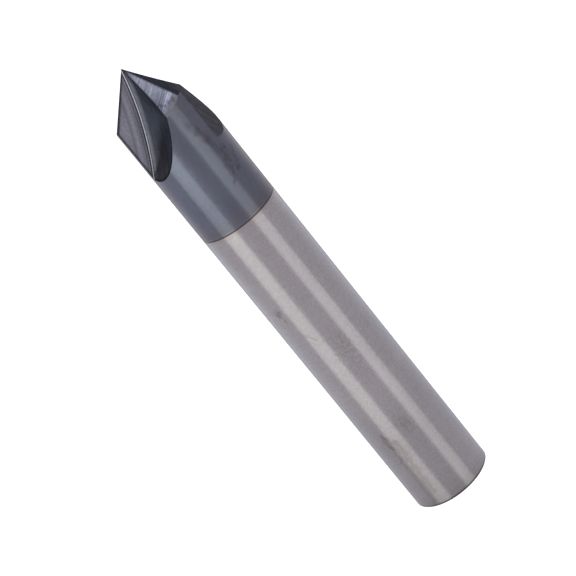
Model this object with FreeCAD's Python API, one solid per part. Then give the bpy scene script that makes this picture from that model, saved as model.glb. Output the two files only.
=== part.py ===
"""Solid carbide chamfer mill: one ground rod with a three-sided point and three flutes.

The tool stands on its shank end. The origin is the centre of that end face, +Z runs
along the axis to the point, and the first rake face lies in the XZ plane and looks
along -Y. Seen from the point, the tool turns counterclockwise as it cuts.
"""
import FreeCAD, Part
import math
import os

# The rod, in millimetres; the coating is a film that covers the head and ends in a sharp line
diameter = 12.0
overall_length = 76.2
shank_end_chamfer = 0.2
coated_length = 25.4

# The point: the angle across the cutting edges and the slopes of the two relief faces, in
# degrees, and the width of the narrow primary land at the rod's surface
point_angle = 87.4
primary_relief_angle = 7.0
secondary_relief_angle = 24.3
primary_land_width = 0.7

# The flutes, as a grinding wheel with a flat side and a coned rim leaves them, with the
# direction of the first edge and the angle in the flute's corner in degrees
flute_count = 3
first_edge_direction = 180.0
rake_face_length = 14.2
web_at_point = 0.05
wheel_radius = 42.5
flute_corner_angle = 104.0
flute_corner_radius = 0.35

radius = diameter / 2
flute_pitch = 360 / flute_count
origin = FreeCAD.Vector(0, 0, 0)
axis_direction = FreeCAD.Vector(0, 0, 1)


def turned(shape, angle):
    """A copy of the shape, turned about the tool's axis."""
    copy = shape.copy()
    copy.rotate(origin, axis_direction, angle)
    return copy


def make_rod():
    """The round rod: a chamfered end, the bare shank, and the head that the film covers."""
    corners = [
        origin,
        FreeCAD.Vector(radius - shank_end_chamfer, 0, 0),
        FreeCAD.Vector(radius, 0, shank_end_chamfer),
        FreeCAD.Vector(radius, 0, overall_length - coated_length),
        FreeCAD.Vector(radius, 0, overall_length),
        FreeCAD.Vector(0, 0, overall_length),
    ]
    half_section = Part.Face(Part.makePolygon(corners + corners[:1]))
    return half_section.revolve(origin, axis_direction, 360)


def relief_falls():
    """How steeply the primary and secondary relief faces fall from the point.

    Each is (steepest fall per unit of radius, its direction in degrees behind the cutting edge).
    """
    def steepest(start_fall, start_angle, relief_angle):
        half_angle = math.atan(1 / start_fall)
        fall_behind = math.tan(math.radians(relief_angle)) / math.sin(half_angle)
        direction = start_angle + math.degrees(math.atan2(fall_behind, start_fall))
        return math.hypot(start_fall, fall_behind), direction

    edge_fall = 1 / math.tan(math.radians(point_angle / 2))
    primary_fall, primary_direction = steepest(edge_fall, 0, primary_relief_angle)
    land_angle = math.degrees(primary_land_width / radius)
    land_end_fall = primary_fall * math.cos(math.radians(primary_direction - land_angle))
    return [(primary_fall, primary_direction), steepest(land_end_fall, land_angle, secondary_relief_angle)]


def make_relief_stock(steepest_fall, degrees_behind_edge):
    """What is ground off above one relief face, as a block whose tilted underside is that face."""
    reach = overall_length
    stock = Part.makeBox(2 * reach, 2 * reach, reach, FreeCAD.Vector(-reach, -reach, 0))
    stock.rotate(origin, FreeCAD.Vector(0, 1, 0), math.degrees(math.atan(steepest_fall)))
    stock.rotate(origin, axis_direction, -degrees_behind_edge)
    stock.translate(FreeCAD.Vector(0, 0, overall_length))
    return stock


def wheel_centre():
    """The wheel's centre, from the web at the point and the rake face's end on the rod."""
    rise = radius - web_at_point
    chord = math.hypot(rake_face_length, rise)
    slope_at_point = math.atan2(rise, rake_face_length) - math.asin(chord / 2 / wheel_radius)
    x = web_at_point + wheel_radius * math.cos(slope_at_point)
    z = overall_length + wheel_radius * math.sin(slope_at_point)
    return FreeCAD.Vector(x, 0, z)


def make_wheel():
    """The wheel in the flute of a cutting edge on +X: flat side in the XZ plane, rim towards +Y."""
    centre = wheel_centre()
    rim_tilt = math.radians(flute_corner_angle - 90)
    half_corner = math.radians(flute_corner_angle / 2)
    tangent_length = flute_corner_radius / math.tan(half_corner)
    wheel_width = diameter

    def rim_point(past_rim, y):
        return FreeCAD.Vector(centre.x - wheel_radius - past_rim, y, centre.z)

    corner_start = rim_point(-tangent_length, 0)
    corner_middle = rim_point(
        flute_corner_radius * math.cos(half_corner) - tangent_length,
        flute_corner_radius * (1 - math.sin(half_corner)),
    )
    corner_end = rim_point(tangent_length * math.sin(rim_tilt), tangent_length * math.cos(rim_tilt))
    rim_end = rim_point(wheel_width * math.tan(rim_tilt), wheel_width)
    back = FreeCAD.Vector(centre.x, wheel_width, centre.z)
    section = Part.Wire([
        Part.makeLine(centre, corner_start),
        Part.Arc(corner_start, corner_middle, corner_end).toShape(),
        Part.makeLine(corner_end, rim_end),
        Part.makeLine(rim_end, back),
        Part.makeLine(back, centre),
    ])
    return Part.Face(section).revolve(centre, FreeCAD.Vector(0, 1, 0), 360)


def make_chamfer_mill():
    """The rod with everything ground off that one tooth's relief faces and flute take, at each tooth."""
    ground_off = [make_relief_stock(*fall) for fall in relief_falls()] + [make_wheel()]
    tool = make_rod()
    for number in range(flute_count):
        tooth_direction = first_edge_direction + number * flute_pitch
        for stock in ground_off:
            tool = tool.cut(turned(stock, tooth_direction))
    return tool


os.makedirs("parts", exist_ok=True)
chamfer_mill = make_chamfer_mill()
chamfer_mill.exportStep("parts/chamfer_mill.step")
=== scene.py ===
"""The looks of a solid carbide chamfer mill: a bare ground shank and a coated head with three flutes.

Everything is in metres in the model's own frame: the tool stands on its shank end, +Z runs along
its axis to the point, and its first cutting edge lies on the -X side. The marks on its surfaces
are drawn in millimetres and degrees.
"""

import math
from functools import cached_property

import bmesh
import bpy
import numpy as np
from mathutils import Matrix, Vector


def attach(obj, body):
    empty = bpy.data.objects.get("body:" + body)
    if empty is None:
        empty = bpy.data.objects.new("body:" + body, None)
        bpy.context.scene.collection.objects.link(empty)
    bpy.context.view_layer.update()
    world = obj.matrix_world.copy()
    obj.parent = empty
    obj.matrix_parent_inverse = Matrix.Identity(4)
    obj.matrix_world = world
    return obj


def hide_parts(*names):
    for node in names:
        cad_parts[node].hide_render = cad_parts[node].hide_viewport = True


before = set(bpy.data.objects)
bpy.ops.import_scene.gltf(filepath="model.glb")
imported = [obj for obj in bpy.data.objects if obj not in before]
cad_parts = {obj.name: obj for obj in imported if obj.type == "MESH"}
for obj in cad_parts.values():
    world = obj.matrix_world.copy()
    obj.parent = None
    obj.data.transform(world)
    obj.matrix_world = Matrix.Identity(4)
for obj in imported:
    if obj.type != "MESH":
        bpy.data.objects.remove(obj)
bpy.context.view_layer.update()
mm = 0.001

# The tool, with the same driving values as the solid model
diameter = 12.0 * mm
overall_length = 76.2 * mm
shank_end_chamfer = 0.2 * mm
coated_length = 25.4 * mm
point_angle = 87.4
primary_relief_angle = 7.0
secondary_relief_angle = 24.3
primary_land_width = 0.7 * mm
flute_count = 3
first_edge_direction = 180.0
rake_face_length = 14.2 * mm
web_at_point = 0.05 * mm
wheel_radius = 42.5 * mm
flute_corner_angle = 104.0
flute_corner_radius = 0.35 * mm

radius = diameter / 2
coating_edge = overall_length - coated_length
half_point = math.radians(point_angle / 2)
rim_tilt = math.radians(flute_corner_angle - 90)
corner_tangent = flute_corner_radius / math.tan(math.radians(flute_corner_angle / 2))

# The camera, as fitted to the tool's outline in the photo, with its lens and sensor in mm
camera_azimuth = -13.8
camera_elevation = 19.54
camera_roll = -39.01
camera_distance = 322.18 * mm
camera_target = Vector((-1.037, 0.262, 37.79)) * mm
camera_lens = 147.03
camera_sensor = 36
camera_near_limit = 10 * mm

# The softboxes, all at one distance from the camera's target, in metres. The upright ones are given
# as name, azimuth, width, lowest and highest point above the target, and radiance
light_color = (1, 1.01, 0.965)
light_distance = 0.5
upright_lights = [
    ("right_strip", 22.2, 0.287, -0.8, 0.8, 0.48),
    ("left_low", -65.8, 0.344, -0.8, -0.05, 0.6),
    ("left_high", -65.8, 0.344, 0.23, 0.8, 0.6),
    ("left_core", -60.0, 0.445, -0.05, 0.23, 3.1),
]
top_light_size = 0.3
top_light_radiance = 1.1
tooth_under_top_light = 1

floor_radius = 2

# How finely the meshes are cut: round the rod, along a flute and across its corner
rod_steps = 360
flute_steps = 160
corner_steps = 14

# The kinds of surface, in the order of the finished piece's materials
kinds = ["shank", "chamfer", "end", "head", "rake", "corner", "floor", "primary", "secondary"]


def kind_number(kind, tooth=0):
    """One number for a kind of surface on one tooth, kept as a face's material until the mesh is whole."""
    return kinds.index(kind) + len(kinds) * tooth


def tooth_turn(tooth):
    """The turn that takes a tooth with its cutting edge on +X to its own place."""
    return Matrix.Rotation(math.radians(first_edge_direction + tooth * 360 / flute_count), 4, "Z")


def add_object(name, data):
    """A new object in the scene."""
    thing = bpy.data.objects.new(name, data)
    bpy.context.scene.collection.objects.link(thing)
    return thing


def mesh_from(bm, name):
    """The bmesh as a mesh of its own."""
    mesh = bpy.data.meshes.new(name)
    bm.to_mesh(mesh)
    bm.free()
    return mesh


def join_rings(bm, first, second, numbers):
    """Faces between two rings of points, with a number for each face."""
    for i, number in enumerate(numbers):
        j = (i + 1) % len(numbers)
        bm.faces.new([first[i], first[j], second[j], second[i]]).material_index = number


def capped_solid(name, sections, numbers):
    """A capped mesh through rings of points, with a number for each side, the last for the caps too."""
    bm = bmesh.new()
    rings = [[bm.verts.new(point) for point in section] for section in sections]
    for first, second in zip(rings, rings[1:]):
        join_rings(bm, first, second, numbers)
    for ring in (rings[0], rings[-1]):
        bm.faces.new(ring).material_index = numbers[-1]
    bmesh.ops.recalc_face_normals(bm, faces=bm.faces)
    return mesh_from(bm, name)


def rod_mesh():
    """The round rod before grinding, with its chamfered end, the shank and the head as strips."""
    heights = [0, shank_end_chamfer, coating_edge, overall_length]
    radii = [radius - shank_end_chamfer, radius, radius, radius]
    angles = [2 * math.pi * (i + 0.5) / rod_steps for i in range(rod_steps)]
    bm = bmesh.new()
    rings = [
        [bm.verts.new((ring_radius * math.cos(a), ring_radius * math.sin(a), height)) for a in angles]
        for height, ring_radius in zip(heights, radii)
    ]
    for strip, low, high in zip(("chamfer", "shank", "head"), rings, rings[1:]):
        join_rings(bm, low, high, [kind_number(strip)] * rod_steps)
    bm.faces.new(rings[0][::-1]).material_index = kind_number("end")
    bm.faces.new(rings[-1]).material_index = kind_number("head")
    return mesh_from(bm, "rod")


def wheel_centre():
    """The grinding wheel's centre for a tooth on +X, from the web and the rake face's length."""
    rise = radius - web_at_point
    chord = math.hypot(rake_face_length, rise)
    slope_at_point = math.atan2(rise, rake_face_length) - math.asin(chord / 2 / wheel_radius)
    x = web_at_point + wheel_radius * math.cos(slope_at_point)
    z = overall_length + wheel_radius * math.sin(slope_at_point)
    return Vector((x, 0, z))


def wheel_section():
    """The wheel's outline as points (distance from axle, Y), and the kind of surface each side leaves."""
    inner_distance = wheel_radius - diameter
    section = [(inner_distance, 0.0)]
    for i in range(corner_steps + 1):
        angle = -math.pi / 2 + (math.pi - math.radians(flute_corner_angle)) * i / corner_steps
        section.append((
            wheel_radius - corner_tangent + flute_corner_radius * math.cos(angle),
            flute_corner_radius * (1 + math.sin(angle)),
        ))
    section.append((wheel_radius + diameter * math.tan(rim_tilt), diameter))
    section.append((inner_distance, diameter))
    return section, ["rake"] + ["corner"] * corner_steps + ["floor"] * 3


def wheel_mesh(tooth):
    """The stretch of the grinding wheel that passes through the rod, and a few degrees past it."""
    centre = wheel_centre()
    section, sides = wheel_section()
    past_rod = math.radians(3)
    first_angle = math.asin((centre.z - overall_length) / wheel_radius) - past_rod
    last_angle = math.acos((centre.x - radius) / wheel_radius) + past_rod
    sections = []
    for i in range(flute_steps + 1):
        angle = first_angle + (last_angle - first_angle) * i / flute_steps
        sections.append([
            (centre.x - distance * math.cos(angle), y, centre.z - distance * math.sin(angle))
            for distance, y in section
        ])
    mesh = capped_solid("wheel", sections, [kind_number(side, tooth) for side in sides])
    mesh.transform(tooth_turn(tooth))
    return mesh


def relief_falls():
    """Each relief face's steepest fall per unit of radius, and its direction in degrees behind the edge."""
    def steepest(start_fall, start_angle, relief_angle):
        half_angle = math.atan(1 / start_fall)
        fall_behind = math.tan(math.radians(relief_angle)) / math.sin(half_angle)
        direction = start_angle + math.degrees(math.atan2(fall_behind, start_fall))
        return math.hypot(start_fall, fall_behind), direction

    edge_fall = 1 / math.tan(half_point)
    primary_fall, primary_direction = steepest(edge_fall, 0, primary_relief_angle)
    land_angle = math.degrees(primary_land_width / radius)
    land_end_fall = primary_fall * math.cos(math.radians(primary_direction - land_angle))
    return {
        "primary": (primary_fall, primary_direction),
        "secondary": steepest(land_end_fall, land_angle, secondary_relief_angle),
    }


def relief_turn(kind, tooth):
    """The turn that takes a level plane at the point to a tooth's relief face."""
    fall, direction = relief_falls()[kind]
    tilt = Matrix.Rotation(math.atan(fall), 4, "Y")
    return tooth_turn(tooth) @ Matrix.Rotation(math.radians(-direction), 4, "Z") @ tilt


def relief_normal(kind, tooth):
    """The direction in which a tooth's relief face looks."""
    return relief_turn(kind, tooth).to_3x3() @ Vector((0, 0, 1))


def relief_mesh(kind, tooth):
    """What is ground off above one relief face."""
    reach = 2 * diameter
    corners = [(-reach, -reach), (reach, -reach), (reach, reach), (-reach, reach)]
    sections = [[(x, y, z) for x, y in corners] for z in (0, reach)]
    mesh = capped_solid(kind, sections, [kind_number(kind, tooth)] * len(corners))
    mesh.transform(Matrix.Translation((0, 0, overall_length)) @ relief_turn(kind, tooth))
    return mesh


def ground_mesh():
    """The rod with everything ground off that the reliefs and the flutes take."""
    rod = add_object("rod", rod_mesh())
    cutters = []
    for tooth in range(flute_count):
        for mesh in (relief_mesh("primary", tooth), relief_mesh("secondary", tooth), wheel_mesh(tooth)):
            cutters.append(add_object(mesh.name, mesh))
    for cutter in cutters:
        cut = rod.modifiers.new(cutter.name, "BOOLEAN")
        cut.operation = "DIFFERENCE"
        cut.solver = "EXACT"
        cut.material_mode = "INDEX"
        cut.object = cutter
    for owner in [rod] + cutters:
        for _ in range(len(kinds) * flute_count):
            owner.data.materials.append(None)
    depsgraph = bpy.context.evaluated_depsgraph_get()
    mesh = bpy.data.meshes.new_from_object(rod.evaluated_get(depsgraph))
    for owner in [rod] + cutters:
        data = owner.data
        bpy.data.objects.remove(owner)
        bpy.data.meshes.remove(data)
    return mesh


def unit(vectors):
    """The vectors, one a row, each made one long."""
    return vectors / np.linalg.norm(vectors, axis=1, keepdims=True)


def true_normals(kind, tooth, points):
    """The surface's own directions at points on it, in the frame of the whole tool."""
    turn = np.array(tooth_turn(tooth).to_3x3())
    off_axis = [1e-12, 0, 0]
    outward = unit(points * [1, 1, 0] + off_axis)
    if kind in ("shank", "head"):
        return outward
    if kind == "chamfer":
        return unit(outward - [0, 0, 1])
    if kind == "end":
        return points * 0 - [0, 0, 1]
    if kind in ("primary", "secondary"):
        return points * 0 + np.array(relief_normal(kind, tooth))
    if kind == "rake":
        return points * 0 + turn @ [0, 1, 0]
    local = points @ turn
    centre = np.array(wheel_centre())
    from_axle = unit((local - centre) * [1, 0, 1])
    if kind == "floor":
        return (from_axle * -math.cos(rim_tilt) + np.array([0, math.sin(rim_tilt), 0])) @ turn.T
    corner_centre = centre + from_axle * (wheel_radius - corner_tangent)
    corner_centre[:, 1] = flute_corner_radius
    return unit(corner_centre - local) @ turn.T


def read_all(things, name, width=1, kind=np.int32):
    """One property of all points, corners or faces of a mesh."""
    values = np.zeros(len(things) * width, kind)
    things.foreach_get(name, values)
    return values


def dress_mesh(mesh, materials):
    """Gives each face its kind's material, its surface's own normals, and its place on its tooth in mm."""
    points = read_all(mesh.vertices, "co", 3, float).reshape(-1, 3)
    places = points[read_all(mesh.loops, "vertex_index")]
    face_numbers = read_all(mesh.polygons, "material_index")
    numbers = np.repeat(face_numbers, read_all(mesh.polygons, "loop_total"))
    normals = np.zeros_like(places)
    tooth_places = np.zeros_like(places)
    for number in np.unique(numbers):
        tooth, kind = divmod(int(number), len(kinds))
        here = numbers == number
        normals[here] = true_normals(kinds[kind], tooth, places[here])
        tooth_places[here] = places[here] @ np.array(tooth_turn(tooth).to_3x3()) / mm
    tooth_place = mesh.attributes.new("tooth_place", "FLOAT_VECTOR", "CORNER")
    tooth_place.data.foreach_set("vector", tooth_places.ravel())
    mesh.shade_smooth()
    mesh.normals_split_custom_set(normals)
    mesh.materials.clear()
    for kind in kinds:
        mesh.materials.append(materials[kind])
    mesh.polygons.foreach_set("material_index", (face_numbers % len(kinds)).astype(np.int32))


class Graph:
    """A material's or world's nodes, with a short call for each kind used here."""

    def __init__(self, tree):
        self.nodes, self.links = tree.nodes, tree.links
        self.nodes.clear()

    def add(self, kind, *values, **settings):
        """A node with some settings, and with values or other nodes' outputs in its first sockets."""
        node = self.nodes.new(kind)
        for name, setting in settings.items():
            setattr(node, name, setting)
        for socket, value in zip(node.inputs, values):
            self.feed(socket, value)
        return node

    def feed(self, socket, value):
        """Links another node's output to a socket, or sets the socket to a number, vector or colour."""
        if isinstance(value, bpy.types.NodeSocket):
            self.links.new(value, socket)
        elif socket.type == "RGBA":
            socket.default_value = (*value, 1)
        else:
            socket.default_value = value

    def math(self, operation, *values):
        return self.add("ShaderNodeMath", *values, operation=operation).outputs[0]

    def vector(self, operation, *values):
        node = self.add("ShaderNodeVectorMath", *values, operation=operation)
        return node.outputs["Value" if operation in ("DOT_PRODUCT", "LENGTH") else "Vector"]

    def combine(self, x, y, z):
        return self.add("ShaderNodeCombineXYZ", x, y, z).outputs[0]

    def parts(self, vector):
        return tuple(self.add("ShaderNodeSeparateXYZ", vector).outputs)

    def noise(self, place, scale, detail):
        node = self.add("ShaderNodeTexNoise")
        for name, value in (("Vector", place), ("Scale", scale), ("Detail", detail)):
            self.feed(node.inputs[name], value)
        return node.outputs["Fac"]

    def ramp(self, value, low, high, start=0.0, end=1.0):
        """Goes smoothly from start to end as the value goes from low to high."""
        return self.add(
            "ShaderNodeMapRange", value, low, high, start, end, interpolation_type="SMOOTHSTEP"
        ).outputs["Result"]

    def band(self, value, rise_from, rise_to, fall_from, fall_to):
        """Rises smoothly from 0 to 1 and falls back to 0 as the value grows."""
        rise = self.ramp(value, rise_from, rise_to)
        return self.times(rise, self.ramp(value, fall_from, fall_to, 1.0, 0.0))

    def line(self, value, place, half_width, strength):
        """1 away from a line and 1 - strength on it, so that a negative strength brightens."""
        off = self.math("ABSOLUTE", self.math("SUBTRACT", value, place))
        return self.ramp(off, 0.0, half_width, 1 - strength, 1.0)

    def times(self, first, *others):
        """The product of numbers."""
        for other in others:
            first = self.math("MULTIPLY", first, other)
        return first

    def rest(self, share):
        """What a share leaves of 1."""
        return self.math("SUBTRACT", 1.0, share)

    def mix(self, share, first, second, blend="MIX"):
        """The first colour where the share is 0 and the second where it is 1."""
        node = self.add("ShaderNodeMix", data_type="RGBA", blend_type=blend)
        self.feed(node.inputs["Factor"], share)
        self.feed(node.inputs[6], first)
        self.feed(node.inputs[7], second)
        return node.outputs[2]

    def tint(self, color, tint, share):
        """The colour, multiplied by a tint where the share is 1."""
        return self.mix(share, color, tint, "MULTIPLY")

    def shade(self, color, amount):
        """The colour times an amount near 1."""
        return self.tint(color, self.combine(amount, amount, amount), 1.0)

    def dim(self, color, *shares):
        """The colour, darkened by the product of some shares."""
        return self.shade(color, self.rest(self.times(*shares)))


# The direction from which the photo looks, and how far a degree reaches round the rod in mm
front = math.radians(camera_azimuth - 90)
mm_per_degree = math.radians(radius / mm)

# The marks on a flute's floor and on a wide relief face are turned this far from the cutting edge
edge_to_marks = math.radians(3.2)

# How far inside the wheel's rim, in mm, a flute's valley begins
valley_inset = 0.2

# The stretch of a grain that looks the same in all directions
even = (1, 1, 1)


class Surface(Graph):
    """The nodes of one metal surface, with the coordinates of its marks in mm and degrees."""

    def __init__(self, name, metallic=1.0, roughness=0.27, rim_tint=(0.75, 0.75, 0.76)):
        self.material = bpy.data.materials.new(name)
        self.material.use_nodes = True
        super().__init__(self.material.node_tree)
        out = self.add("ShaderNodeOutputMaterial")
        self.shader = self.add("ShaderNodeBsdfPrincipled")
        self.shader.inputs["Metallic"].default_value = metallic
        self.shader.inputs["Roughness"].default_value = roughness
        self.shader.inputs["Specular Tint"].default_value = (*rim_tint, 1)
        self.links.new(self.shader.outputs[0], out.inputs["Surface"])
        place = self.add("ShaderNodeTexCoord").outputs["Object"]
        self.place = self.vector("MULTIPLY", place, (1 / mm,) * 3)
        self.height = self.vector("DOT_PRODUCT", self.place, (0, 0, 1))
        self.tooth_place = self.add("ShaderNodeAttribute", attribute_name="tooth_place").outputs["Vector"]

    @cached_property
    def around(self):
        """The angle round the axis, from 0 where the photo looks straight on and growing to its left."""
        ahead = self.vector("DOT_PRODUCT", self.place, (math.cos(front), math.sin(front), 0))
        aside = self.vector("DOT_PRODUCT", self.place, (math.sin(front), -math.cos(front), 0))
        return self.math("DEGREES", self.math("ARCTAN2", aside, ahead))

    @cached_property
    def unrolled(self):
        """The round surface laid flat, in mm, and shifted a little so that streaks come out uneven."""
        wobble = self.math("MULTIPLY_ADD", self.noise(self.place, 1.1, 2.0), 0.9, -0.45)
        turned = self.math("ADD", self.math("MULTIPLY", self.around, mm_per_degree), wobble)
        return self.combine(turned, self.height, 0.0)

    @cached_property
    def from_axle(self):
        """How far a place in a flute is from the wheel's axle: the marks the wheel left are arcs of this."""
        centre = tuple(wheel_centre() / mm)
        flat = self.vector("MULTIPLY", self.vector("SUBTRACT", self.tooth_place, centre), (1, 0, 1))
        return self.vector("LENGTH", flat)

    def across_marks(self, x, y):
        """How far a place lies in front of a tooth's rake face, across the marks, and negative behind it."""
        return self.math("MULTIPLY_ADD", x, math.sin(edge_to_marks), y)

    def along_and_off_edge(self, x, z):
        """How far a place lies from the point along a cutting edge's slope, and how far below that slope."""
        drop = self.math("SUBTRACT", overall_length / mm, z)
        sine, cosine = math.sin(half_point), math.cos(half_point)
        along = self.math("ADD", self.times(x, sine), self.times(drop, cosine))
        return along, self.math("SUBTRACT", self.times(drop, sine), self.times(x, cosine))

    def patch(self, around, height, half_angle, half_height):
        """1 in the middle of an oval patch of the round surface, and 0 outside it."""
        aside = self.math("DIVIDE", self.math("SUBTRACT", self.around, around), half_angle)
        above = self.math("DIVIDE", self.math("SUBTRACT", self.height, height), half_height)
        return self.ramp(self.vector("LENGTH", self.combine(aside, above, 0.0)), 0.2, 1.0, 1.0, 0.0)

    def streak(self, start, end, start_width, end_width):
        """1 on a streak round the rod from one (angle, height) to another, and 0 past its half width."""
        first, last = (Vector((angle * mm_per_degree, height, 0)) for angle, height in (start, end))
        step = last - first
        past = self.vector("SUBTRACT", self.unrolled, tuple(first))
        share = self.math("DIVIDE", self.vector("DOT_PRODUCT", past, tuple(step)), step.length_squared)
        share = self.math("MINIMUM", self.math("MAXIMUM", share, 0.0), 1.0)
        nearest = self.vector("MULTIPLY", self.combine(share, share, share), tuple(step))
        off = self.vector("LENGTH", self.vector("SUBTRACT", past, nearest))
        width = self.math("MULTIPLY_ADD", share, end_width - start_width, start_width)
        return self.ramp(self.math("DIVIDE", off, width), 0.2, 1.0, 1.0, 0.0)

    def stain(self, color, tint, streaks):
        """The colour, tinted on streaks of (start, end, start width, end width, strength)."""
        for *streak, strength in streaks:
            color = self.tint(color, tint, self.times(self.streak(*streak), strength))
        return color

    def grain(self, stretch, scale, low, high):
        """A noise that is drawn out along the directions with a small stretch, between two levels."""
        place = self.vector("MULTIPLY", self.place, stretch)
        return self.ramp(self.noise(place, scale, 1.0), 0.3, 0.7, low, high)

    def wheel_marks(self, distance, scale, low, high):
        """Streaks along the wheel's path, between two levels."""
        return self.ramp(self.noise(self.combine(distance, 0.0, 0.0), scale, 3.0), 0.3, 0.7, low, high)

    def finish(self, color, roughness=None):
        """The finished material, with its colour and, where one is given, its roughness."""
        self.feed(self.shader.inputs["Base Color"], color)
        if roughness is not None:
            self.feed(self.shader.inputs["Roughness"], roughness)
        return self.material


# The metals' own colours and those of the coated head's ground faces, with the painted shade of the end
# chamfer and the narrow land, and the painted light of the flute valleys
bare_color = (0.44, 0.426, 0.427)
coat_color = (0.18, 0.20, 0.245)
end_chamfer_painted_shade = (0.07, 0.07, 0.075)
rake_color = (0.238, 0.243, 0.29)
valley_painted_light = (0.93, 0.93, 1.0)
land_painted_shade = (0.08, 0.085, 0.11)

# Stains on the round surface: the start and end of each streak as (angle, height), its half
# widths there, and its strength
shank_stain_tint = (0.68, 0.63, 0.57)
shank_stains = [
    ((42.0, 13.7), (40.0, 11.3), 0.5, 0.6, 0.6),
    ((40.5, 13.4), (31.0, 12.2), 0.4, 0.7, 0.4),
    ((30.5, 12.0), (32.5, 2.5), 0.75, 0.7, 0.4),
    ((27.5, 11.5), (31.5, 0.3), 0.7, 0.9, 0.2),
    ((41.0, 11.5), (41.0, 0.3), 0.5, 0.45, 0.38),
    ((45.5, 8.5), (38.5, 9.3), 0.3, 0.25, 0.3),
]
scratch_tint = (0.62, 0.68, 0.6)
scratches = [
    ((35.5, 32.8), (23.0, 31.3), 0.35, 0.3, 0.3),
    ((57.0, 46.0), (55.0, 45.5), 0.3, 0.3, 0.3),
]
coat_stain_tint = (0.78, 0.755, 0.75)
coat_stains = [
    ((-24.0, 69.5), (-22.0, 66.0), 0.9, 0.9, 0.45),
    ((-21.0, 66.0), (-25.5, 64.6), 0.9, 0.9, 0.75),
    ((-25.5, 64.6), (-30.0, 62.6), 0.85, 0.8, 0.8),
    ((-30.0, 62.6), (-32.5, 60.4), 0.8, 0.7, 0.6),
]

# Where dark specks lie: on patches of the shank, as angle, height, half extents and strength, and
# on streaks of the coating, as stains are given but for their strength
shank_speck_tint = (0.5, 0.47, 0.43)
shank_speck_patches = [
    (46, 37.2, 9, 1.1, 1.0),
    (44, 35.8, 4, 0.8, 0.7),
    (6, 13.9, 14, 2.4, 0.4),
    (-2, 29.0, 14, 2.2, 0.3),
]
coat_speck_tint = (0.64, 0.59, 0.61)
coat_speck_streaks = [
    ((-41.0, 60.6), (-31.0, 58.0), 0.8, 1.1),
    ((-31.0, 58.0), (-22.5, 55.9), 0.9, 0.45),
    ((-54.0, 59.6), (-42.0, 57.2), 0.5, 0.9),
    ((-62.0, 54.2), (-65.0, 53.6), 0.3, 0.3),
]

# On a wide relief face: how far its stripes lean, its strongest lines as (distance from the point,
# half width, strength), and its dark spots as (distance from the point, distance behind the edge, size)
stripe_lean = 0.18
facet_lines = [(5.2, 0.3, 0.22), (6.95, 0.12, -0.7), (7.25, 0.1, -0.4), (7.6, 0.1, -0.5)]
facet_spot_tint = (0.56, 0.5, 0.57)
facet_spots = [(8.3, 1.1, 0.5), (7.95, 1.6, 0.45), (7.26, 2.35, 0.3), (7.75, 2.15, 0.28)]


def end_chamfer():
    """The small chamfer round the shank's end, dull, and dark with painted shade."""
    s = Surface("end_chamfer", roughness=0.4)
    return s.finish(end_chamfer_painted_shade)


def bare_carbide():
    """The ground shank: a fine even speckle, faint rings left by grinding, and a few stains."""
    s = Surface("bare_carbide", metallic=0.87, rim_tint=(0.95, 0.95, 0.95))

    # The speckle, stronger halfway up, then rings and clouds
    speckle_depth = s.math("MULTIPLY_ADD", s.patch(0, 27.5, 30, 4), 0.12, 0.145)
    speckle = s.math("SUBTRACT", s.grain(even, 5.5, 0.0, 1.0), 0.5)
    color = s.shade(bare_color, s.math("MULTIPLY_ADD", speckle, speckle_depth, 1.0))
    color = s.shade(color, s.grain((0.15, 0.15, 1.0), 1.2, 0.985, 1.015))
    color = s.shade(color, s.grain((1, 1, 0.4), 0.25, 0.97, 1.03))

    # Painted shade, darker towards the end but little so on the right; stains and a darker low patch; more
    # painted shade on and beside the highlights
    kept = s.times(s.ramp(s.height, 0.0, 6.0, 0.93, 1.0), s.ramp(s.height, 11.0, 22.0, 0.88, 1.0))
    color = s.dim(color, s.rest(kept), s.ramp(s.around, -40.0, -22.0, 0.25, 1.0))
    color = s.stain(color, shank_stain_tint, shank_stains)
    color = s.dim(color, s.ramp(s.height, 11.0, 14.0, 0.1, 0.0), s.patch(24, 6.0, 18, 12.0))
    # Painted shade just above the end
    color = s.shade(color, s.ramp(s.height, 0.4, 2.4, 0.9, 1.0))
    # Painted shade on the highlights: the right one's edge and the whole left one dimmed
    right_edge_painted_shade = s.ramp(s.height, 22.0, 34.0, 0.1, 0.05)
    color = s.dim(color, s.band(s.around, -31.0, -25.0, -25.0, -13.0), right_edge_painted_shade)
    left_highlight_painted_shade = s.times(s.ramp(s.height, 12.0, 17.0, 0.03, 0.06), s.ramp(s.height, 34.0, 44.0, 1.0, 0.4))
    color = s.dim(color, s.band(s.around, 14.0, 18.0, 33.0, 38.0), left_highlight_painted_shade)
    # Painted shade: a dark line round the end's rim
    color = s.shade(color, s.ramp(s.height, 0.3, 0.48, 0.4, 1.0))

    # Small marks
    color = s.stain(color, scratch_tint, scratches)
    speckled = 0.0
    for *patch, strength in shank_speck_patches:
        speckled = s.math("MULTIPLY_ADD", s.patch(*patch), strength, speckled)
    specks = s.ramp(s.noise(s.place, 4.5, 0.0), 0.45, 0.62)
    color = s.tint(color, shank_speck_tint, s.times(speckled, specks))
    color = s.shade(color, s.math("MULTIPLY_ADD", s.patch(-33, 38.3, 9, 2.2), 0.05, 1.0))

    # A brown edge and a dark line where the coating starts
    below = s.math("SUBTRACT", coating_edge / mm, s.height)
    color = s.tint(color, (0.97, 0.9, 0.86), s.ramp(below, 0.1, 0.9, 1.0, 0.0))
    color = s.mix(s.ramp(below, 0.08, 0.2, 0.9, 0.0), color, (0.06, 0.04, 0.035))
    return s.finish(color, s.grain(even, 2.0, 0.17, 0.23))


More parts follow.
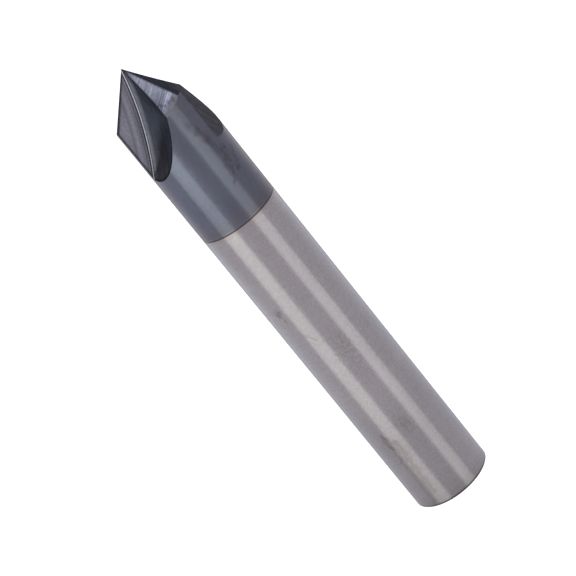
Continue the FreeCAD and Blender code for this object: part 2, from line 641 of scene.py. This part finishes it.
def coating():
    """The coated round part of the head, navy where it ends and greyer towards the flutes."""
    s = Surface("coating", metallic=0.94, rim_tint=(1.0, 0.91, 0.83))
    color = s.shade(coat_color, s.grain(even, 5.5, 0.94, 1.06))
    color = s.shade(color, s.grain((1, 1, 0.5), 0.3, 0.96, 1.04))

    # Stains and specks
    color = s.stain(color, coat_stain_tint, coat_stains)
    speckled = 0.0
    for streak in coat_speck_streaks:
        speckled = s.math("MAXIMUM", speckled, s.streak(*streak))
    specks = s.ramp(s.noise(s.place, 3.6, 1.0), 0.42, 0.62)
    color = s.tint(color, coat_speck_tint, s.times(speckled, specks))

    # Slow changes of colour round the head and up it; round the head they are painted shade and light, which
    # differ from side to side
    color = s.tint(color, (0.875, 0.86, 0.845), s.ramp(s.around, -26.0, -8.0, 1.0, 0.0))
    color = s.shade(color, s.ramp(s.around, -74.0, -52.0, 1.13, 1.0))
    color = s.shade(color, s.ramp(s.around, 36.0, 46.0, 1.0, 1.06))
    color = s.dim(color, s.band(s.around, 27.0, 31.0, 36.0, 41.0), 0.045)
    upper_right = s.times(s.ramp(s.height, 61.0, 63.0), s.ramp(s.around, 8.0, 18.0, 1.0, 0.0))
    color = s.tint(color, (0.995, 0.97, 0.965), upper_right)
    color = s.tint(color, (0.985, 0.975, 0.98), s.ramp(s.height, 54.5, 57.0, 1.0, 0.0))
    color = s.tint(color, (0.945, 0.92, 0.93), s.patch(-4, 53.2, 18, 2.6))

    # The rim of the film: a dark line with a bright one above it
    above = s.math("SUBTRACT", s.height, coating_edge / mm)
    color = s.shade(color, s.ramp(above, 0.2, 3.0, 0.93, 1.0))
    color = s.tint(color, (1.06, 1.0, 0.94), s.ramp(above, 0.8, 2.6, 1.0, 0.0))
    color = s.shade(color, s.line(above, 0.0, 0.1, 0.6))
    color = s.shade(color, s.line(above, 0.2, 0.09, -0.3))
    return s.finish(color, s.grain(even, 2.0, 0.17, 0.23))


def rake_face():
    """A flute's flat wall: streaks along the wheel's path, painted shade beside the valley and a dark line
    further out, a dark rim, and painted light towards the flute's low end.
    """
    s = Surface("rake_face", roughness=0.25)
    x, _, z = s.parts(s.tooth_place)
    color = s.shade(rake_color, s.wheel_marks(s.from_axle, 2.2, 0.86, 1.12))
    color = s.shade(color, s.grain(even, 3.0, 0.93, 1.07))
    to_valley = s.math("SUBTRACT", wheel_radius / mm - valley_inset, s.from_axle)
    # Painted shade beside the valley, and a dark line further out
    color = s.shade(color, s.line(to_valley, 0.38, 0.2, 0.4))
    color = s.shade(color, s.line(to_valley, 1.6, 0.35, 0.3))
    _, to_edge = s.along_and_off_edge(x, z)
    to_rim = s.math("MINIMUM", to_edge, s.math("SUBTRACT", radius / mm, x))
    color = s.shade(color, s.ramp(to_rim, 0.08, 0.4, 0.22, 1.0))
    color = s.shade(color, s.ramp(to_rim, 0.3, 1.5, 0.85, 1.0))
    # Painted light, brighter towards the flute's low end
    return s.finish(s.shade(color, s.ramp(z, 61.0, 68.0, 1.25, 1.0)))


def flute_floor():
    """A flute's coned floor, pale with painted light beside the valley and dark with painted shade further
    on.

    On the left as the camera sees it, where the first flute shows, both are painted stronger, and the
    outline has painted shade too.
    """
    s = Surface("flute_floor", roughness=0.27)
    x, y, z = s.parts(s.tooth_place)
    past_valley = s.across_marks(x, y)

    # The first flute: painted light beside the valley and painted shade past it
    near_level = s.times(s.ramp(z, 60.0, 65.0, 0.25, 0.43), s.ramp(z, 66.0, 77.0, 1.0, 0.88))
    near = s.shade(valley_painted_light, near_level)
    deep_level = s.times(s.ramp(z, 61.0, 66.0, 0.25, 0.112), s.ramp(z, 66.0, 76.0, 1.0, 0.4))
    deep = s.shade(s.mix(s.ramp(z, 65.0, 68.0), (0.95, 0.94, 1.07), (0.86, 0.95, 1.13)), deep_level)
    far = s.shade((0.165, 0.185, 0.225), s.ramp(z, 65.0, 67.5, 1.0, 0.72))
    deep = s.mix(s.ramp(past_valley, 3.2, 4.8), deep, far)
    first = s.mix(s.ramp(past_valley, 0.0, 1.75), near, deep)

    # The other flutes: weaker painted light and shade
    other_near = s.shade(valley_painted_light, s.ramp(z, 62.5, 66.5, 0.17, 0.33))
    other_deep = s.mix(s.ramp(z, 67.0, 71.0), (0.168, 0.168, 0.183), (0.08, 0.086, 0.112))
    other = s.mix(s.ramp(past_valley, 0.0, 1.6), other_near, other_deep)

    at_first = s.ramp(s.around, -5.0, 5.0)
    color = s.mix(at_first, other, first)
    color = s.shade(color, s.wheel_marks(past_valley, 1.6, 0.8, 1.2))
    color = s.shade(color, s.grain(even, 1.2, 0.9, 1.1))
    # Painted shade along the first flute's outline
    from_axis = s.vector("LENGTH", s.combine(x, y, 0.0))
    return s.finish(s.dim(color, at_first, s.ramp(from_axis, 5.75, 5.95, 0.0, 0.6)))


def flute_corner():
    """The rounded valley between a flute's two faces, darkened with painted shade, most on the rake side."""
    s = Surface("flute_corner", roughness=0.25)
    _, y, _ = s.parts(s.tooth_place)
    return s.finish(s.mix(s.ramp(y, 0.0, 0.1), (0.08, 0.08, 0.1), (0.16, 0.165, 0.185)))


def primary_relief():
    """The narrow land behind a cutting edge, dark with painted shade."""
    s = Surface("primary_relief", roughness=0.25)
    return s.finish(s.shade(land_painted_shade, s.grain(even, 3.0, 0.9, 1.1)))


def secondary_relief():
    """The wide relief face, striped across its length by the wheel that ground it."""
    s = Surface("secondary_relief", roughness=0.3)
    x, y, z = s.parts(s.tooth_place)
    y = s.across_marks(x, y)
    behind = s.times(y, -1.0)
    along, _ = s.along_and_off_edge(x, z)
    along = s.math("MULTIPLY_ADD", y, stripe_lean, along)

    # Fine stripes, deepest near the outer end, and single lines
    fine = s.ramp(s.noise(s.combine(along, s.times(y, 0.05), 0.0), 4.2, 2.0), 0.35, 0.65, -1.0, 1.0)
    depth = s.math("MULTIPLY_ADD", s.band(along, 5.9, 6.4, 7.7, 8.1), 0.12, 0.2)
    stripes = s.math("MULTIPLY_ADD", depth, fine, 1.0)
    stripes = s.times(stripes, *(s.line(along, *line) for line in facet_lines))

    # Painted light and shade: brighter by the land but for one dull stripe, evenly dull at the outer end,
    # and dark near the point
    dull = s.times(s.band(along, 5.8, 6.2, 6.3, 6.9), 0.25)
    inner = s.times(s.ramp(behind, 0.5, 3.2, 1.08, 0.5), s.rest(dull))
    outer = s.ramp(behind, 0.6, 2.6, 0.62, 0.66)
    broad = s.ramp(s.noise(s.combine(along, s.times(y, 0.1), 7.0), 1.1, 1.0), 0.35, 0.65, 0.9, 1.1)
    level = s.times(s.ramp(along, 7.6, 8.25, inner, outer), s.ramp(along, 0.4, 2.0, 0.4, 1.0), broad)

    # Painted shade along the heel, where the next flute cuts in, and along the land
    past_heel = s.math("MULTIPLY_ADD", behind, -2.35, s.math("ADD", along, -0.23))
    past_land = s.math("MULTIPLY_ADD", s.math("MINIMUM", along, 6.5), -0.058, behind)
    heel_painted_shade = s.ramp(past_heel, 0.0, 0.65, s.ramp(along, 5.9, 6.5, 0.38, 1.0), 1.0)
    level = s.times(level, heel_painted_shade, s.ramp(past_land, -0.05, 0.18, 0.35, 1.0))

    color = s.mix(s.ramp(along, 7.5, 8.3), (0.222, 0.238, 0.312), (0.235, 0.226, 0.276))
    color = s.shade(s.shade(color, level), stripes)
    for spot_along, spot_behind, size in facet_spots:
        off_along = s.math("SUBTRACT", along, spot_along - stripe_lean * spot_behind)
        off = s.vector("LENGTH", s.combine(off_along, s.math("SUBTRACT", behind, spot_behind), 0.0))
        color = s.tint(color, facet_spot_tint, s.ramp(off, 0.1, size, 0.9, 0.0))
    return s.finish(s.shade(color, s.grain(even, 2.5, 0.9, 1.1)))


materials = {
    "shank": bare_carbide(),
    "chamfer": end_chamfer(),
    "head": coating(),
    "rake": rake_face(),
    "corner": flute_corner(),
    "floor": flute_floor(),
    "primary": primary_relief(),
    "secondary": secondary_relief(),
}
materials["end"] = materials["shank"]

tool_mesh = ground_mesh()
dress_mesh(tool_mesh, materials)
tool = add_object("chamfer_mill_ground", tool_mesh)
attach(tool, "root")
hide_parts("chamfer_mill")


def look_turn(azimuth, elevation, roll=0):
    """The turn of a camera or light that faces the middle from an azimuth and elevation."""
    return (
        Matrix.Rotation(math.radians(azimuth), 4, "Z")
        @ Matrix.Rotation(math.radians(90 - elevation), 4, "X")
        @ Matrix.Rotation(math.radians(roll), 4, "Z")
    )


def direction_to(azimuth, elevation=0):
    """The direction from the middle to a camera or light."""
    return look_turn(azimuth, elevation).to_3x3() @ Vector((0, 0, 1))


def place_facing_target(thing, turn, distance, lift=0):
    """Puts a camera or light at a distance from the camera's target, facing it apart from its lift."""
    thing.matrix_world = Matrix.Translation(camera_target) @ turn @ Matrix.Translation((0, lift, distance))


def add_camera():
    """The camera that sees the tool as the photo does."""
    data = bpy.data.cameras.new("camera")
    data.lens = camera_lens
    data.sensor_width = camera_sensor
    data.clip_start = camera_near_limit
    camera = add_object("camera", data)
    place_facing_target(camera, look_turn(camera_azimuth, camera_elevation, camera_roll), camera_distance)
    bpy.context.scene.camera = camera


def add_softbox(name, azimuth, elevation, width, height, radiance, lift=0):
    """A lit rectangle that faces the camera's target, and which the camera doesn't see."""
    data = bpy.data.lights.new(name, "AREA")
    data.color = light_color
    data.shape = "RECTANGLE"
    data.size = width
    data.size_y = height
    data.energy = math.pi * width * height * radiance
    light = add_object(name, data)
    light.visible_camera = False
    place_facing_target(light, look_turn(azimuth, elevation), light_distance, lift)


def bounce(normal):
    """The direction from which light reaches the camera off a surface that faces along the normal."""
    back = direction_to(camera_azimuth, camera_elevation)
    return 2 * normal.dot(back) * normal - back


def add_softboxes():
    """The upright lights, and one above whose reflection lies on the wide relief face in view."""
    for name, azimuth, width, low, high, radiance in upright_lights:
        add_softbox(name, azimuth, 0, width, high - low, radiance, lift=(low + high) / 2)
    top = bounce(relief_normal("secondary", tooth_under_top_light))
    azimuth = math.degrees(math.atan2(top.x, -top.y))
    elevation = math.degrees(math.asin(top.z))
    add_softbox("top", azimuth, elevation, top_light_size, top_light_size, top_light_radiance)


def add_tent():
    """The white tent round the tool.

    The camera sees it pure white. In reflections it is bright below the level of the tool's middle,
    most of all away from the camera, and dark above that and straight below.
    """
    world = bpy.data.worlds.new("tent")
    bpy.context.scene.world = world
    world.use_nodes = True
    g = Graph(world.node_tree)
    direction = g.add("ShaderNodeTexCoord").outputs["Generated"]
    facing = g.vector("DOT_PRODUCT", direction, tuple(direction_to(camera_azimuth)))
    away = g.math("MULTIPLY_ADD", facing, -0.5, 0.5)
    leftness = g.vector("DOT_PRODUCT", direction, tuple(direction_to(camera_azimuth - 90)))
    right_in_model = g.vector("DOT_PRODUCT", direction, (1, 0, 0))
    rise = g.vector("DOT_PRODUCT", direction, (0, 0, 1))

    low_level = g.times(
        g.math("ADD", g.ramp(away, 0.5, 0.95, 0.495, 0.76), g.ramp(away, 0.9, 1.0, 0.0, -0.45)),
        g.ramp(leftness, -1.0, 1.0, 1.0, 1.02),
        g.ramp(leftness, 0.88, 1.0, 1.0, 1.17),
        g.rest(g.times(g.ramp(away, 0.6, 0.85), g.ramp(rise, -0.44, -0.31, 0.2, 0.0))),
        g.ramp(rise, -0.85, -0.7, 0.1, 1.0),
    )
    high_level = g.ramp(right_in_model, -0.6, 0.6, 0.13, 0.32)
    level = g.ramp(rise, -0.2, -0.06, low_level, high_level)
    side_color = g.mix(g.ramp(away, 0.25, 0.5), (1.0, 0.93, 1.04), (0.975, 0.935, 1.055))
    color = g.mix(g.ramp(away, 0.6, 1.0), side_color, (0.945, 0.965, 1.075))

    reflected = g.add("ShaderNodeBackground", color, level)
    seen = g.add("ShaderNodeBackground", (1, 1, 1))
    by_camera = g.add("ShaderNodeLightPath").outputs["Is Camera Ray"]
    mix = g.add("ShaderNodeMixShader", by_camera, reflected.outputs[0], seen.outputs[0])
    g.feed(g.add("ShaderNodeOutputWorld").inputs["Surface"], mix.outputs[0])


def add_floor():
    """A wide plain floor, as white as the tent and without shadow."""
    bm = bmesh.new()
    bmesh.ops.create_circle(bm, cap_ends=True, segments=96, radius=floor_radius)
    floor = add_object("floor", mesh_from(bm, "floor"))
    material = bpy.data.materials.new("floor")
    material.use_nodes = True
    shader = material.node_tree.nodes["Principled BSDF"]
    shader.inputs["Base Color"].default_value = (0.85, 0.85, 0.85, 1)
    shader.inputs["Roughness"].default_value = 0.9
    shader.inputs["Emission Color"].default_value = (1, 1, 1, 1)
    shader.inputs["Emission Strength"].default_value = 1.0
    floor.data.materials.append(material)
    floor.visible_glossy = False
    floor.visible_shadow = False


add_camera()
add_tent()
add_floor()
add_softboxes()

view = bpy.context.scene.view_settings
view.view_transform = "Standard"
view.look = "None"
